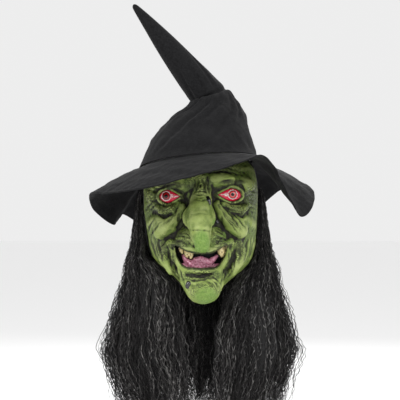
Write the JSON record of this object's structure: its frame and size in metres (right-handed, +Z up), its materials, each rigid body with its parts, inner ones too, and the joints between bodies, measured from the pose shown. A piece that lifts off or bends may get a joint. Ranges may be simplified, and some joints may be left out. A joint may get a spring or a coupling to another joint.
{
  "type": "latex halloween mask",
  "caption": "Full-head witch mask of moulded latex with glossy eyes, hooked nose, open grin, long crimped hair on a wig cap and a folded cloth hat with a wavy brim.",
  "frame": {"origin": "middle of the opening that the head goes in by, level with the tip of the chin and in the middle plane of the face", "axes": "+Z up towards the crown, -Y out of the face towards whoever looks at it, +X towards the wearer's left"},
  "size_m": [0.3625, 0.3513, 0.6738],
  "materials": {
    "latex_green": "satin",
    "latex_black": "glossy",
    "latex_pink": "satin",
    "tooth_yellow": "glossy",
    "eye_white": "glossy",
    "stretch_black": "matte",
    "hat_cloth": "matte",
    "hair_dark": "satin"
  },
  "bodies": {
    "mask": {"face_skin": "latex_green", "wig_cap": "stretch_black", "cap_elastic": "stretch_black", "eye_right": "eye_white", "eye_left": "eye_white", "mouth_lining": "stretch_black", "tooth_right_canine": "tooth_yellow", "tooth_right_molar": "tooth_yellow", "tooth_left_premolar": "tooth_yellow", "tooth_left_molar": "tooth_yellow", "tongue": "latex_pink", "wart_bridge": "latex_black", "wart_nostril": "latex_black", "wart_chin": "latex_black", "hat_crown": "hat_cloth", "hat_brim": "hat_cloth", "hat_sweatband": "stretch_black", "hair_weft_right": "stretch_black", "hair_weft_left": "stretch_black", "hair_weft_back": "stretch_black"},
    "peak": {"hat_peak": "hat_cloth"},
    "side_hair_right": {"hair_right": "hair_dark"},
    "side_hair_left": {"hair_left": "hair_dark"},
    "back_hair": {"hair_back_right": "hair_dark", "hair_back_middle": "hair_dark", "hair_back_left": "hair_dark"}
  },
  "joints": [
    {"name": "peak_fold", "type": "hinge", "parent": "mask", "child": "peak", "pos_m": [0.02, 0.014, 0.307], "axis": [0, 1, 0], "range_deg": [-5, 40]},
    {"name": "hair_right_swing", "type": "hinge", "parent": "mask", "child": "side_hair_right", "pos_m": [-0.084, 0.027, 0.172], "axis": [0, 1, 0], "range_deg": [0, 14]},
    {"name": "hair_left_swing", "type": "hinge", "parent": "mask", "child": "side_hair_left", "pos_m": [0.084, 0.027, 0.172], "axis": [0, -1, 0], "range_deg": [0, 14]},
    {"name": "hair_back_swing", "type": "hinge", "parent": "mask", "child": "back_hair", "pos_m": [0, 0.094, 0.17], "axis": [1, 0, 0], "range_deg": [0, 22]}
  ]
}
